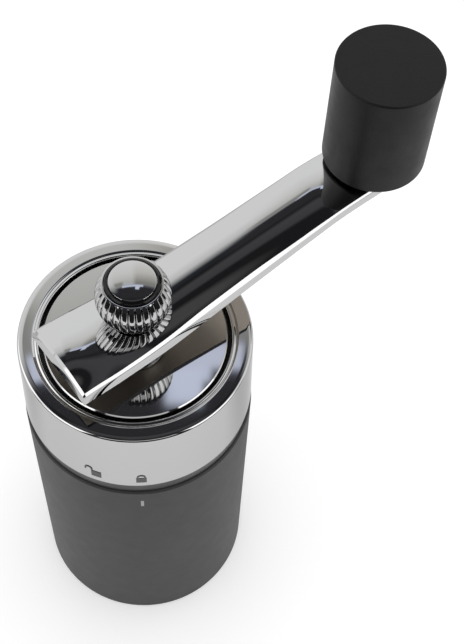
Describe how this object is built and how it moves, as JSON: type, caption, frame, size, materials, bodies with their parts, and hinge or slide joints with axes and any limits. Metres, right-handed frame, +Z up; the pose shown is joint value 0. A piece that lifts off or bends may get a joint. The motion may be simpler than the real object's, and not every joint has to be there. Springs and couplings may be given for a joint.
{
  "type": "nutmeg grinder",
  "caption": "Hand-cranked nutmeg grinder: cylindrical grip body, polished twist-off head, flat crank arm with ridged knob nut and turning handle, spring-loaded claw over a blade disc.",
  "frame": {"origin": "centre of the ring face that the grinder stands on, on the axis of the body and the shaft", "axes": "+Z up along the shaft; -Y is the front, where the index mark is; +X is to the right seen from the front; the crank's rest direction is 31.5 degrees from +X towards +Y"},
  "size_m": [0.1007, 0.0776, 0.157],
  "materials": {
    "soft_touch": "dark charcoal soft-touch plastic, fine grain",
    "black_plastic": "black moulded plastic, satin",
    "chrome": "polished bright chrome",
    "steel": "plain machined or pressed stainless steel",
    "brass": "turned brass",
    "nylon": "off-white nylon, low friction"
  },
  "bodies": {
    "housing": {"body_shell": "soft_touch", "chamber_sleeve": "black_plastic", "grater_carrier": "black_plastic", "grater_disc": "steel", "carrier_screws": "steel", "bayonet_collar": "black_plastic"},
    "head": {"lock_ring": "chrome", "head_carrier": "black_plastic", "ring_screws": "steel", "bearing_bush": "brass"},
    "crank": {"thrust_washer": "nylon", "drive_shaft": "steel", "shaft_clip": "steel", "spring_cup": "nylon", "crank_disc": "chrome", "hub_boss": "chrome", "crank_arm": "chrome", "knob_nut": "chrome", "knob_ring": "black_plastic", "knob_cap": "chrome", "handle_pin": "steel", "handle_washer": "nylon", "pin_clip": "steel", "stop_washer": "steel", "stop_screw": "steel"},
    "claw": {"claw_hub": "black_plastic", "claw_prongs": "steel", "claw_rivets": "steel", "claw_spring": "steel"},
    "handle": {"handle_grip": "soft_touch", "handle_bush": "nylon"}
  },
  "joints": [
    {"name": "head_twist", "type": "hinge", "parent": "housing", "child": "head", "pos_m": [0, 0, 0.0853], "axis": [0, 0, 1], "range_deg": [0, 25]},
    {"name": "crank_spin", "type": "hinge", "parent": "head", "child": "crank", "pos_m": [0, 0, 0.105], "axis": [0, 0, 1], "continuous": true},
    {"name": "claw_slide", "type": "slide", "parent": "crank", "child": "claw", "axis": [0, 0, 1], "range_m": [0, 0.02], "stiffness_N_per_m": 150, "springref_m": -0.012, "deforming": ["claw_spring"]},
    {"name": "handle_spin", "type": "hinge", "parent": "crank", "child": "handle", "pos_m": [0.05968, 0.03657, 0.1267], "axis": [0, 0, 1], "continuous": true}
  ]
}
